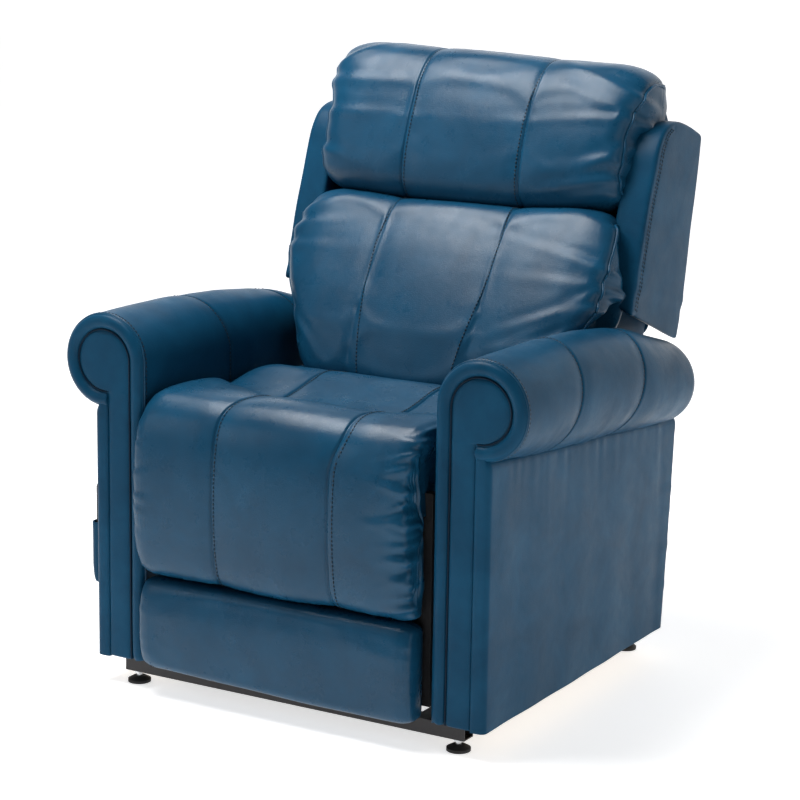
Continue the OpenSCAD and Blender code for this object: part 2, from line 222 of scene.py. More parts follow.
SLOT_MAT = {"leather": LEATHER, "cushion": LEATHER, "padding": LEATHER, "steel_black": POWDER, "zinc": ZINC,
            "aluminium": ALU, "plastic_black": PLAST, "button_grey": BTN, "rubber": RUBBER, "wood": WOOD}
SLOT = {s["node"]: s["material_slot"] for s in frame["record"]["subparts"]}
for n, o in frame["nodes"].items():
    set_mat(o, CAMBRIC if n in ("footrest_board", "seat_frame") else SLOT_MAT[SLOT[n]])
    if SLOT[n] in ("steel_black", "wood", "plastic_black", "rubber", "button_grey"):
        bv = o.modifiers.new("edge", "BEVEL")
        bv.width = .0012 if SLOT[n] != "rubber" else .0016
        bv.segments = 2
        bv.limit_method = "ANGLE"
        bv.angle_limit = math.radians(50)


# ------------------------------------------------------------------ mesh helpers
def new_mesh(name, V, F, mat):
    """A mesh object with smooth shading."""
    me = bpy.data.meshes.new(name)
    me.from_pydata([tuple(map(float, v)) for v in V], [], [tuple(int(i) for i in f) for f in F])
    me.validate()
    me.update()
    me.materials.append(mat)
    me.polygons.foreach_set("use_smooth", [True] * len(me.polygons))
    return link(name, me)


def grid_faces(nu, nv, close_v=True, flip=False):
    F = []
    for i in range(nu - 1):
        for j in range(nv if close_v else nv - 1):
            a, b = i * nv + j, i * nv + (j + 1) % nv
            c, d = (i + 1) * nv + (j + 1) % nv, (i + 1) * nv + j
            F.append((a, d, c, b) if flip else (a, b, c, d))
    return F


def smooth_poly(pts, n):
    """Closed outline in mm with its corners cut twice, in n equal steps."""
    P = np.array(pts, float) / 1000
    for _ in range(2):
        Q = np.roll(P, -1, 0)
        P = np.stack([.75 * P + .25 * Q, .25 * P + .75 * Q], 1).reshape(-1, 2)
    return resample(P, n, True)


def resample(P, n, closed=False):
    P = np.asarray(P, float)
    if closed:
        P = np.vstack([P, P[:1]])
    d = np.linalg.norm(np.diff(P, axis=0), axis=1)
    s = np.concatenate([[0], np.cumsum(d)])
    t = np.linspace(0, s[-1], n, endpoint=not closed)
    return np.stack([np.interp(t, s, P[:, k]) for k in range(P.shape[1])], 1)


def vnoise(P, scale, seed):
    """Smooth pseudo-random field from a few sines, the same every run."""
    r = np.random.RandomState(seed)
    out = np.zeros(P.shape[:-1])
    for k in range(7):
        w = r.normal(size=3) * scale * (1 + .35 * k)
        out += np.sin(P @ w + r.uniform(0, 6.28)) / (1 + .45 * k)
    return out / 2.6


def gauss(x, w):
    return np.exp(-(x / w) ** 2)


def subdiv(o, lv=1):
    m = o.modifiers.new("sub", "SUBSURF")
    m.levels = lv
    m.render_levels = lv


def thicken(o, thickness):
    m = o.modifiers.new("thick", "SOLIDIFY")
    m.thickness = thickness
    m.offset = 0


def tube_path(P, r, name, mat=LEATHER, ns=8):
    """Round welt along points P."""
    T = unit(np.gradient(P, axis=0))
    N = unit(np.cross(T, np.array([.3, .5, .8])))
    B = np.cross(T, N)
    a = np.linspace(0, 2 * math.pi, ns, endpoint=False)[None, :, None]
    V = P[:, None] + r * (np.cos(a) * N[:, None] + np.sin(a) * B[:, None])
    last = (len(P) - 1) * ns
    F = grid_faces(len(P), ns, flip=True) + [tuple(range(ns)), tuple(last + j for j in reversed(range(ns)))]
    return new_mesh(name, V.reshape(-1, 3), F, mat)


def along(P, s, x):
    """The point of P at the length x, where s holds its running length."""
    return np.array([np.interp(x, s, P[:, k]) for k in range(3)])


def stitch_path(paths, name, length=.0046, gap=.0024, w=.0010, h=.0008):
    """Rows of small sewn stitches. Each path is (points, normals)."""
    V, F = [], []
    one = grid_faces(5, 4, flip=True) + [(0, 1, 2, 3), (19, 18, 17, 16)]
    for P, N in paths:
        d = np.linalg.norm(np.diff(P, axis=0), axis=1)
        s = np.concatenate([[0], np.cumsum(d)])
        t = 0.0
        while t + length < s[-1]:
            a, m, b = (along(P, s, x) for x in (t, t + length / 2, t + length))
            up = unit(along(N, s, t + length / 2))
            side = np.cross(up, unit(b - a))
            F += [tuple(len(V) + i for i in f) for f in one]
            for c, wide, high in ((a, .45, -.0003), (a * .75 + b * .25, 1, h * .8), (m, 1.05, h),
                                  (a * .25 + b * .75, 1, h * .8), (b, .45, -.0003)):
                for sx, sz in ((-1, -.4), (-.6, .7), (.6, .7), (1, -.4)):
                    V.append(c + side * sx * w * wide + up * (high + sz * h * .6))
            t += length + gap
    return new_mesh(name, V, F, THREAD)


def done(o, body, rep=()):
    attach(o, body)
    if rep:
        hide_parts(*([rep] if isinstance(rep, str) else rep))
    return o


def mirror_copy(o):
    """The right-hand twin of a left-hand piece, with its faces turned round."""
    me = o.data.copy()
    co = np.empty(len(me.vertices) * 3)
    me.vertices.foreach_get("co", co)
    co[0::3] *= -1
    me.vertices.foreach_set("co", co)
    me.flip_normals()
    me.update()
    q = link(o.name.replace("_left", "_right"), me)
    for m in o.modifiers:
        if m.type == "SOLIDIFY":
            thicken(q, m.thickness)
        else:
            subdiv(q, m.levels)
    return q


def pair(o, body, rep=()):
    """Settles a left-hand piece and its right-hand twin, which stands for the node of the right side."""
    q = mirror_copy(o)
    done(o, body, rep)
    done(q, body, rep.replace("_left", "_right") if rep else ())


# ------------------------------------------------------------------ soft forms
def fillet(pts, n):
    """Closed outline from (across, up, corner radius) in mm, in n equal steps."""
    A = np.array(pts, float) / 1000
    P, R = A[:, :2], A[:, 2]
    out = []
    for i, b in enumerate(P):
        u, v = P[i - 1] - b, P[(i + 1) % len(P)] - b
        lu, lv = np.linalg.norm(u), np.linalg.norm(v)
        t = min(R[i], lu * .48, lv * .48)
        p, q = b + u / lu * t, b + v / lv * t
        for k in np.linspace(0, 1, 9):
            out.append((1 - k) ** 2 * p + 2 * k * (1 - k) * b + k * k * q)
    return resample(np.array(out), n, True)


def ease(x, a, b):
    """0 below a, 1 above b, smooth between."""
    t = np.clip((x - a) / (b - a), 0, 1)
    return t * t * (3 - 2 * t)


def zip_cap(start, n, flip):
    """Closes a small ring of n points with a strip of faces from one side to the other."""
    F = []
    for j in range((n - 1) // 2):
        a, b, c, d = start + j, start + j + 1, start + n - 2 - j, start + n - 1 - j
        f = (a, b, d) if b == c else (a, b, c, d)
        F.append(tuple(reversed(f)) if flip else f)
    return F


def simulate(G, pinned, pressure, cap, frames=12, bend=3):
    """Blows the cover up as cloth round its sewn lines. No point moves further than about cap."""
    nu, nv = G.shape[:2]
    V = G.reshape(-1, 3)
    F = grid_faces(nu, nv) + zip_cap(0, nv, True) + zip_cap((nu - 1) * nv, nv, False)
    o = new_mesh("sim_tmp", V, F, LEATHER)
    vg = o.vertex_groups.new(name="pin")
    w = pinned.reshape(-1)
    for lv in (1.0, .6):
        idx = [int(i) for i in np.where(np.abs(w - lv) < .01)[0]]
        if idx:
            vg.add(idx, lv, "REPLACE")
    cm = o.modifiers.new("cloth", "CLOTH")
    s = cm.settings
    s.quality = 6
    s.mass = .35
    s.tension_stiffness = 20
    s.compression_stiffness = 20
    s.shear_stiffness = 10
    s.bending_stiffness = bend
    s.air_damping = 2
    s.use_pressure = True
    s.uniform_pressure_force = pressure
    s.shrink_min = 0
    s.vertex_group_mass = "pin"
    s.pin_stiffness = 1.5
    s.effector_weights.gravity = 0
    cm.collision_settings.use_collision = False
    sc = bpy.context.scene
    cm.point_cache.frame_start = 1
    cm.point_cache.frame_end = frames + 1
    for f in range(1, frames + 1):
        sc.frame_set(f)
    ev = o.evaluated_get(bpy.context.evaluated_depsgraph_get())
    me = ev.to_mesh()
    co = np.empty(len(me.vertices) * 3)
    me.vertices.foreach_get("co", co)
    co = co.reshape(-1, 3)
    ev.to_mesh_clear()
    sc.frame_set(1)
    bpy.data.objects.remove(o, do_unlink=True)
    if len(co) != len(V) or not np.isfinite(co).all():
        return G
    d = co - V
    l = np.linalg.norm(d, axis=1, keepdims=True)
    d *= cap * np.tanh(l / cap) / np.maximum(l, 1e-9)
    return (V + d).reshape(nu, nv, 3)


def finer_at(v, seams):
    """Swaps the positions near each seam for closer ones."""
    for s in seams:
        v = [a for a in v if abs(a - s) > .0125]
        v += [s + f * side for f in (0, .0012, .003, .006, .011) for side in (1, -1)]
    return v


def columns(half, seams, n):
    """x positions from -half to half, closer together at the seams and at the two ends."""
    x = finer_at(list(np.linspace(-half, half, n)), seams)
    for e in (.002, .005, .009, .014, .021, .029):
        x = [v for v in x if abs(abs(v) - (half - e)) > .0018]
        x += [half - e, e - half]
    return np.array(sorted(set(np.round(x, 5))))


def inward(P):
    """Inward unit normals of a closed (y, z) outline."""
    d = np.roll(P, -1, 0) - np.roll(P, 1, 0)
    n = unit(np.stack([-d[:, 1], d[:, 0]], 1))
    return -n if ((P.mean(0) - P) * n).sum() < 0 else n


def pillow(P, X, half, r_in, c, wfn=None, ncap=9, bulge=.012, r_len=.045):
    """Closed form with the outline P across. Its ends are rounded in by r_in over r_len and closed by bulged
    side panels. c is the outline's middle. Returns the grid and the index of its first and last body column."""
    c = np.array(c)
    Nn = inward(P)
    wf = np.ones(len(P)) if wfn is None else np.array([wfn(p) for p in P])

    def ring(x, ins, s=1.0, bx=0.0):
        return np.column_stack([x * wf + bx, c + (P + Nn * ins - c) * s])

    ends = [((k + .6) / ncap) ** .8 for k in range(ncap)]
    cols = [ring(-half, r_in, s, -bulge * (1 - s ** 2.2)) for s in ends]
    for x in X:
        e = max(0.0, (abs(x) - (half - r_len)) / r_len)
        cols.append(ring(x, r_in * (1 - math.sqrt(max(0, 1 - e * e)))))
    cols += [ring(half, r_in, s, bulge * (1 - s ** 2.2)) for s in reversed(ends)]
    return np.array(cols), ncap, ncap + len(X) - 1


def closed_obj(name, G, mat=LEATHER, sub=1):
    nu, nv = G.shape[:2]
    F = grid_faces(nu, nv) + zip_cap(0, nv, False) + zip_cap((nu - 1) * nv, nv, True)
    o = new_mesh(name, G.reshape(-1, 3), F, mat)
    bmesh_fix(o)
    if sub:
        subdiv(o, sub)
    return o


def bmesh_fix(o):
    """Turns all faces outwards."""
    b = bmesh.new()
    b.from_mesh(o.data)
    bmesh.ops.recalc_face_normals(b, faces=b.faces)
    b.to_mesh(o.data)
    b.free()
    o.data.polygons.foreach_set("use_smooth", [True] * len(o.data.polygons))


def out_normals(G):
    """Outward normals of a (nu, nv, 3) grid that closes the second way."""
    n = unit(np.cross(np.gradient(G, axis=0), (np.roll(G, -1, 1) - np.roll(G, 1, 1)) / 2))
    c = G.reshape(-1, 3).mean(0)
    return -n if ((G - c) * n).sum() < 0 else n


def groove(x, s, w, d):
    return -d * gauss(x - s, w)


def pulls(r, num, start, span, u, run, skew, height, width):
    """Slanting folds spread along u. Each draws its place, its skew along run and its height from r."""
    d = 0
    for k in range(num):
        line = (u - (start + span * (k + r.uniform(0, 1)) / num)) + r.uniform(*skew) * run
        d = d + r.uniform(*height) * gauss(line, width)
    return d


def seam_dents(x, fm, sharp, width, depth, seams=SEAMS):
    """A sharp stitched groove and a wide soft one at each seam, on the seen face fm."""
    d = np.zeros(x.shape)
    for s in seams:
        d += groove(x, s, .0022, sharp) * fm
        d += groove(x, s, width, depth) * fm
    return d


def pin_map(fm, hidden, xs, seams, i0, i1, reach, hold=.6):
    """Where a cover is held: 1 on its hidden side, at its seams and past its ends, hold on its end rings."""
    pin = np.zeros((len(xs), len(fm)))
    pin[:, fm < hidden] = 1
    for s in seams:
        pin[np.abs(xs - s) < .0008] = 1
    for i in (i0, i1):
        pin[i] = np.maximum(pin[i], hold)
    pin[:i0 - reach] = 1
    pin[i1 + reach + 1:] = 1
    return pin


def seam_rows(G, N, idx):
    """Points and normals of the stitch row beside each of the two seams."""
    rows = []
    mid = idx[len(idx) // 2]
    for s in (-SEAM + .0062, SEAM - .0062):
        i = int(np.argmin(np.abs(G[10:-10, mid, 0] - s))) + 10
        rows.append((G[i, idx] + N[i, idx] * .0004, N[i, idx]))
    return rows


def standing(y):
    """Puts a panel's (thickness, across, up) in the model, facing forward at depth y."""
    return lambda G: np.stack([G[..., 1], y + G[..., 0], G[..., 2]], -1)


# ------------------------------------------------------------------ head and lumbar cushions
def back_cushion(outline, half, c, wfn, ylim, zc, seed, pulls):
    """Sewn form of a back cushion in the backrest's frame, with its pins and the mask of its seen face."""
    P = smooth_poly(outline, 104)
    G, i0, i1 = pillow(P, columns(half, SEAMS, 66), half, .030, c, wfn, bulge=.014, r_len=.075)
    N = out_normals(G)
    x, z = G[..., 0], G[..., 2]
    fm = 1 / (1 + np.exp((P[:, 0] - ylim) / .006))
    d = seam_dents(x, fm, .0030, .020, .0022)
    # gentle crown between the seams
    d += fm * .0020 * (np.cos(x / SEAM * math.pi * .5) ** 2) * (np.abs(x) < SEAM)
    # pull lines near the two ends
    ax = np.abs(x)
    near = np.clip((ax - (half - .13)) / .13, 0, 1) ** 1.6 * (ax <= half + .03)
    r = np.random.RandomState(seed)
    for k in range(pulls):
        zz = zc[0] + (zc[1] - zc[0]) * (k + .5 + r.uniform(-.3, .3)) / pulls
        slope = r.uniform(-.35, .35) + (.5 if zz < sum(zc) / 2 else -.25)
        side = 1 if r.uniform() < .62 else -1
        ln = (half * side - x) * side
        line = (z - zz) + slope * ln
        amp = r.uniform(.0020, .0048) * np.exp(-np.clip(ln, 0, 1) / r.uniform(.040, .100))
        d += fm * (x * side > 0) * amp * (gauss(line, .0085) - .8 * gauss(line - .015, .009))
    d += (fm * .0014 * vnoise(G, 11, seed)) * (.4 + .6 * near)
    G = G + N * d[..., None]
    pin = pin_map(fm, .35, G[:, 0, 0], [s * wfn(P[0]) for s in SEAMS], i0, i1, 3)
    return P, G, i0, i1, fm, pin


# sections of the two back cushions, (depth, up) in mm in the backrest's frame
HEAD = [(54, 178), (20, 169), (-22, 171), (-53, 190), (-67, 230), (-71, 285), (-67, 340), (-54, 388),
        (-24, 428), (24, 448), (66, 448), (96, 440), (110, 424), (106, 408), (54, 406), (54, 300)]
LUMB = [(52, -112), (0, -142), (-60, -186), (-96, -198), (-115, -189), (-121, -155), (-122, -98), (-112, -30),
        (-98, 40), (-84, 95), (-69, 145), (-44, 171), (0, 177), (35, 170), (52, 155), (52, 0)]


def head_w(p):
    """Width of the head cushion at a point of its outline: it spreads over the wings."""
    return 1 + .045 * (1 / (1 + math.exp(-(p[1] - .352) / .012)))


def lumb_w(p):
    """Width of the lumbar cushion: it narrows between the arms."""
    return float(np.interp(p[1], [-.19, -.15, -.08, -.02, .02, .07, .12, .17],
                           [.76, .81, .90, .975, 1.0, 1.015, 1.0, .95]))


def settle_head(G):
    """The head cushion's top leans to one side, its rear corners drop and its lower edge sags."""
    x, y, z = G[..., 0], G[..., 1], G[..., 2]
    z += ease(z, .28, .43) * (.0115 - .0125 * x / .3)
    x *= 1 - .065 * ease(y, .03, .11) * ease(z, .34, .43)
    z -= .014 * ease(np.abs(x), .235, .29) * ease(y, .045, .10) * ease(z, .36, .42)
    z -= .014 * np.clip(1 - (x / .29) ** 2, 0, 1) * (1 - ease(z, .17, .27))


def settle_lumbar(G):
    """The lumbar cushion spreads at its foot and its top edge sags."""
    x, z = G[..., 0], G[..., 2]
    x *= 1 + (1 - ease(z, -.09, .06)) * np.where(x > 0, .07, -.07) * ease(np.abs(x), .08, .25)
    x *= 1 + .045 * ease(x, .08, .28) * ease(z, -.08, .0)
    z -= .014 * np.clip(1 - (x / .29) ** 2, 0, 1) * ease(z, .05, .16)


def make_back_cushion(name, node, settle, piped, form):
    """Simulates, places and sews one back cushion. Form holds back_cushion's arguments."""
    P, G, i0, i1, fm, pin = back_cushion(*form)
    G = simulate(G, pin, 1.6, .0032, bend=4)
    settle(G)
    W = to_back(G)
    N = out_normals(W)
    done(closed_obj(name, W), "back", node)
    js = np.where(fm > .6)[0]
    rows = seam_rows(W, N, np.arange(js.min(), js.max() + 1))
    done(stitch_path(rows, name + "_stitches"), "back", ())
    # welts round the two side panels
    order = longest_run([j for j in range(len(P)) if piped(P[j])], len(P))
    for i, side in ((i0, "r"), (i1, "l")):
        pts = W[i][order] + N[i][order] * .0012
        done(tube_path(resample(pts, 90), .0027, f"{name}_welt_{side}"), "back", ())
    return W, N, i0, i1, P


def longest_run(sel, n):
    """The longest unbroken run of indices on a loop, in order."""
    s = set(sel)
    start = [j for j in sel if (j - 1) % n not in s]
    best = []
    for a in start:
        r, j = [], a
        while j in s and len(r) < n:
            r.append(j)
            j = (j + 1) % n
        if len(r) > len(best):
            best = r
    return best or list(sel)


HW, HN, h0, h1, HP = make_back_cushion(
    "head_pillow", "head_cushion", settle_head, lambda p: p[0] < .100 and not (p[0] > .02 and p[1] < .3),
    (HEAD, .303, (.020, .310), head_w, .030, (.19, .40), 11, 12))
make_back_cushion("lumbar_pillow", "lumbar_cushion", settle_lumbar, lambda p: p[0] < .02,
                  (LUMB, .309, (-.010, .020), lumb_w, .018, (-.10, .13), 23, 14))
# welt along the head pillow's top rear edge
jt = int(np.argmax(HP[:, 1] + HP[:, 0] * .25))
top = HW[h0 + 4:h1 - 3, jt] + HN[h0 + 4:h1 - 3, jt] * .0010
done(tube_path(resample(top, 120), .0026, "head_pillow_welt_top"), "back", ())


# ------------------------------------------------------------------ wings
def wing_edge(z):
    """The wing's front edge at height z."""
    return np.interp(z, [0, .15, .285, .322, .347], [-.003, -.015, -.017, -.006, .022])


def wing_form():
    P = fillet([(-2, -8, 5), (90, -7, 30), (216, -5, 9), (212, 60, 60), (160, 366, 10), (110, 366, 30),
                (58, 360, 30), (22, 347, 26), (-6, 322, 26), (-17, 285, 40), (-16, 150, 60)], 150)
    half = .029
    X = half - np.array([0, .0007, .0025, .006, .015, .029])
    X = np.concatenate([-X[:-1], [0], X[-2::-1]])
    G = pillow(P, X, half, .0055, (.11, .17), ncap=16, bulge=.0022, r_len=.008)[0]
    N = out_normals(G)
    y, z = G[..., 1], G[..., 2]
    outer = (G[..., 0] > .02)
    d = .0008 * vnoise(G, 15, 5)
    d += groove(y - wing_edge(z), .0185, .0016, .0020) * outer * (z < .345)
    d += outer * .0016 * (gauss(z - .050 - .10 * (y - .05), .011) - gauss(z - .030 - .14 * (y - .05), .011))
    G = G + N * d[..., None]
    G[..., 0] += .3275
    # the underside tapers to nothing at the inner side
    G[..., 2] += .024 * (1 - ease(z, -.008, .06)) * (.357 - G[..., 0]) / .059
    return to_back(G)


wing = closed_obj("wing_cover_left", wing_form(), LEATHER_ARM)
pair(wing, "back", "wing_left")


def wing_rows():
    """Two stitch rows beside the wing's front edge."""
    z = np.linspace(.004, .340, 70)
    out = np.tile([1.0, 0, 0], (len(z), 1))
    x = np.full(len(z), .3600)
    return [(to_back(np.column_stack([x, wing_edge(z) + off, z])), out) for off in (.0150, .0225)]


def snap_rows(o, rows, lift=.0004):
    """Drops rows of points onto the surface of o along their normals."""
    dg = bpy.context.evaluated_depsgraph_get()
    dg.update()
    ev = o.evaluated_get(dg)
    out = []
    for P, N in rows:
        Q, M = [], []
        for p, n in zip(P, N):
            n = Vector(n)
            ok, hit, nor, _ = ev.ray_cast(Vector(p) + n * .05, -n, distance=.12)
            if ok:
                Q.append(np.array(hit) + np.array(nor) * lift)
                M.append(np.array(nor))
        if len(Q) > 2:
            out.append((np.array(Q), np.array(M)))
    return out


pair(stitch_path(snap_rows(wing, wing_rows()), "wing_stitches_left"), "back", ())


# dark leather behind the pillows, where they part
half_outline = [(272, -168, 6), (272, -10, 8), (297, 6, 8), (297, 346, 20), (200, 430, 30)]
LN = fillet([(-272, -168, 6)] + half_outline + [(-x, z, r) for x, z, r in half_outline[:0:-1]], 150)
G = pillow(LN, np.linspace(-.003, .003, 4), .003, .002, (0, .13), ncap=12, bulge=.0006, r_len=.003)[0]
done(closed_obj("back_inner_cover", to_back(standing(.0505)(G)), LEATHER_DK), "back", ())

# ------------------------------------------------------------------ seat and chaise pads
def seat_pad():
    """Crowned rear seat between the arms, tucked under the chaise pad in front."""
    ny = 60
    X = columns(.2785, SEAMS, 60)
    Y = np.linspace(-.345, .055, ny)
    top = np.zeros((len(X), ny, 3))
    for i, x in enumerate(X):
        e = max(0, (abs(x) - .222) / .0565)
        side = 1 - math.sqrt(max(0, 1 - min(1, e) ** 2))
        for j, y in enumerate(Y):
            cr = .500 + .026 * math.exp(-((y + .110) / .085) ** 2) * (1 - .30 * ((x + .06) / .28) ** 2)
            cr -= .030 * max(0, (y - .01) / .045) ** 2
            cr -= .034 * side
            cr += .004 * math.exp(-((y + .34) / .03) ** 2)
            top[i, j] = (x, y, cr)
    low = top[:, ::-1].copy()
    low[..., 2] = .444
    G = np.concatenate([top, low[:, ::6]], 1)
    N = out_normals(G)
    fm = np.zeros(G.shape[1])
    fm[:ny] = 1
    d = seam_dents(G[..., 0], fm, .0030, .018, .0020)
    d += fm * .0012 * vnoise(G, 12, 41)
    # shallow pull lines running back from the crease
    r = np.random.RandomState(5)
    for _ in range(7):
        x0 = r.uniform(-.24, .24)
        y0 = -.20 - .1 * (1 - (x0 / .26) ** 2)
        line = (G[..., 0] - x0) + r.uniform(-.5, .5) * (G[..., 1] - y0)
        d += fm * r.uniform(.0006, .0014) * gauss(line, .010) * np.exp(-np.clip(G[..., 1] - y0, 0, 1) / .03)
    G = G + N * d[..., None]
    pin = np.ones(G.shape[:2])
    pin[5:-5, 6:ny - 4] = 0
    for s in SEAMS:
        pin[np.abs(G[:, 5, 0] - s) < .0008] = 1
    G = simulate(G, pin, .8, .003, frames=10)
    return G, out_normals(G), ny


SG, SN, SNY = seat_pad()
done(closed_obj("seat_pad", SG), "chassis", "seat_cushion")
done(stitch_path(seam_rows(SG, SN, np.arange(16, SNY - 4)), "seat_stitches"), "chassis", ())

# section of the chaise pad, (y, z) in mm: from the crease over the front edge and down to the tuck
CH = [(-300, 494), (-304, 506), (-318, 517), (-340, 524), (-366, 527.5), (-392, 525), (-416, 514),
      (-436, 494), (-449, 462), (-455, 420), (-457.5, 370), (-457, 320), (-453, 275), (-446, 243), (-436, 225),
      (-422, 216.5), (-396, 216), (-392, 250), (-392, 330), (-392, 420), (-384, 446), (-350, 452), (-320, 470)]


def crease_shift(x):
    """How far forward or back of the middle the pad's crease lies at x."""
    if x < 0:
        return .092 * min(1.25, (abs(x + .01) / .245)) ** 2
    return .135 * (max(0, x - .06) / .245) ** 2


def chaise():
    P = smooth_poly(CH, 150)
    G, i0, i1 = pillow(P, columns(.2665, (-SEAM + .010, SEAM + .010), 70), .2665, .015, (-.40, .36), ncap=8,
                       bulge=.004, r_len=.030)
    G[..., 0] -= .010
    x, y, z = G[..., 0].copy(), G[..., 1].copy(), G[..., 2].copy()
    # the back edge of the pad bows forward at the middle
    G[..., 1] += np.vectorize(crease_shift)(x) * ease(y, -.405, -.305) * (z > .46)
    # spreads over the arm fronts on the left, gathers in on the right
    front = np.clip((-y - .423) / .02, 0, 1)
    G[..., 0] -= front * .006 * (x < -.2) * np.clip((-x - .2) / .07, 0, 1)
    waist = np.interp(z, [.05, .22, .27, .32, .38, .44, .47, .50],
                      [0, 0, -.002, -.006, -.011, -.013, -.008, 0])
    G[..., 0] += waist * ease(x, .10, .27) * (z < .51)
    G[..., 2] -= .008 * (1 - ease(z, .20, .34)) * (y < -.36)
    # the seams wander a little: the left one swings in at the top, the right one hangs further left
    G[..., 0] += .019 * gauss(x + .125, .07) * ease(y, -.44, -.36) * (z > .42)
    G[..., 0] -= .015 * gauss(x - .110, .08) * (1 - ease(z, .44, .51)) * (y < -.36)
    N = out_normals(G)
    fm = np.maximum(1 / (1 + np.exp((P[:, 0] + .404) / .004)), P[:, 1] > .488)
    d = seam_dents(x, fm, .0032, .022, .0024)
    d += fm * .0030 * (np.cos(x / SEAM * math.pi * .5) ** 2) * (np.abs(x) < SEAM)
    d += fm * .0016 * vnoise(G, 8, 77)
    # gathers along the right edge and light ones on the left
    r = np.random.RandomState(19)
    for side, num, amp0 in ((1, 19, .0085), (-1, 8, .0022)):
        for k in range(num):
            zz = .225 + .30 * (k + .5 + r.uniform(-.35, .35)) / num
            ln = (.2665 - (x + .010) * side)
            line = (z - zz) + r.uniform(-.35, .55) * ln
            a = amp0 * r.uniform(.35, 1) * np.exp(-np.clip(ln, 0, 1) / r.uniform(.010, .026))
            wv = r.uniform(.0035, .0075)
            d += (x * side > 0) * fm * a * (gauss(line, wv) - .8 * gauss(line - 1.6 * wv, wv))
    # pulls running up from the tuck
    folds = pulls(r, 11, -.25, .5, x, z - .22, (-.5, .5), (.0004, .0014), .009)
    d += fm * folds * np.exp(-np.clip(z - .222, 0, 1) / .028) * (y < -.40)
    G = G + N * d[..., None]
    G = simulate(G, pin_map(fm, .4, x[:, 0], SEAMS, i0, i1, 2), 1.2, .0035)
    return G, fm


def cut_side(p):
    """Positive above the parting line, negative below it."""
    (y0, z0), (y1, z1) = CUT
    return (p[2] - z0) * (y1 - y0) - (p[1] - y0) * (z1 - z0)


def split_pad(G, names):
    """Cuts a padded form along the parting line into two closed pieces that share their normals there."""
    tmp = closed_obj("split_tmp", G)
    dg = bpy.context.evaluated_depsgraph_get()
    dg.update()
    base = bpy.data.meshes.new_from_object(tmp.evaluated_get(dg))
    bpy.data.objects.remove(tmp, do_unlink=True)
    (y0, z0), (y1, z1) = CUT
    normal = Vector((0, z0 - z1, y1 - y0)).normalized()
    plane = {"plane_co": Vector((0, y0, z0)), "plane_no": normal, "dist": 1e-6}

    def cut(**clear):
        b = bmesh.new()
        b.from_mesh(base)
        b.normal_update()
        b.faces.layers.int.new("cap")
        bmesh.ops.bisect_plane(b, geom=list(b.verts) + list(b.edges) + list(b.faces), **plane, **clear)
        b.normal_update()
        return b

    ref = cut()
    kd = KDTree(len(ref.verts))
    for i, v in enumerate(ref.verts):
        kd.insert(v.co, i)
    kd.balance()
    ref.verts.ensure_lookup_table()
    objs = []
    for name, upper in zip(names, (True, False)):
        b = cut(clear_inner=upper, clear_outer=not upper)
        cap = b.faces.layers.int["cap"]
        for f in bmesh.ops.holes_fill(b, edges=[e for e in b.edges if e.is_boundary], sides=0)["faces"]:
            f[cap] = 1
        for f in b.faces:
            f.smooth = True
        me = bpy.data.meshes.new(name)
        b.to_mesh(me)
        b.free()
        me.materials.append(LEATHER)
        is_cap = np.zeros(len(me.polygons), np.int32)
        me.attributes["cap"].data.foreach_get("value", is_cap)
        vn = [Vector(ref.verts[kd.find(v.co)[1]].normal) for v in me.vertices]
        N = []
        for p in me.polygons:
            for li in p.loop_indices:
                N.append(tuple(p.normal) if is_cap[p.index] else tuple(vn[me.loops[li].vertex_index]))
        me.normals_split_custom_set(N)
        me.attributes.remove(me.attributes["cap"])
        objs.append(link(name, me))
    ref.free()
    return objs


CG, cfm = chaise()
c_top, c_low = split_pad(CG, ("chaise_pad_upper", "chaise_pad_lower"))
done(c_top, "chassis", "seat_front_roll")
done(c_low, "footrest", "footrest_upper_pad")
js = np.where(cfm > .6)[0]
gaps = np.where(np.diff(js) > 1)[0]
if len(gaps):
    js = np.roll(js, -gaps[0] - 1)
rows = seam_rows(CG, out_normals(CG), js)
for end, body in (("upper", "chassis"), ("lower", "footrest")):
    part = []
    for P, N in rows:
        keep = np.array([(cut_side(p) > 0) == (end == "upper") for p in P])
        part.append((P[keep], N[keep]))
    done(stitch_path(part, "chaise_stitches_" + end), body, ())

# section of the flap below, (y, z) in mm
LP = [(-391, 60), (-424, 57), (-441, 64), (-450, 84), (-453.5, 120), (-452, 165), (-446, 193), (-437, 208),
      (-423, 214), (-391, 213), (-391, 180), (-391, 100)]


def lower_pad():
    """The flap below the footrest's upper pad."""
    P = smooth_poly(LP, 84)
    G, i0, i1 = pillow(P, columns(.2635, (), 70), .2635, .010, (-.42, .135), ncap=7, bulge=.004, r_len=.03)
    G[..., 0] -= .009
    x, z = G[..., 0], G[..., 2]
    z -= .008 + (.004 + .006 * ease(x, -.25, .25)) * (1 - ease(z, .05, .14))
    N = out_normals(G)
    fm = 1 / (1 + np.exp((P[:, 0] + .402) / .004))
    d = fm * .0022 * vnoise(G, 8, 31)
    r = np.random.RandomState(3)
    for side, num, amp0 in ((1, 8, .0030), (-1, 5, .0014)):
        ln = .271 - x * side
        folds = pulls(r, num, .07, .14, z, ln, (-.3, .6), (.4, 1), .006)
        d += (x * side > 0) * fm * amp0 * folds * np.exp(-np.clip(ln, 0, 1) / .018)
    folds = pulls(r, 9, -.25, .5, x, .21 - z, (-.6, .6), (.0004, .0013), .010)
    d += fm * folds * np.exp(-np.clip(.208 - z, 0, 1) / .022)
    G = G + N * d[..., None]
    return simulate(G, pin_map(fm, .4, x[:, 0], (), i0, i1, 1, 0), 1.0, .003)


done(closed_obj("footrest_flap_pad", lower_pad()), "footrest", "footrest_lower_pad")


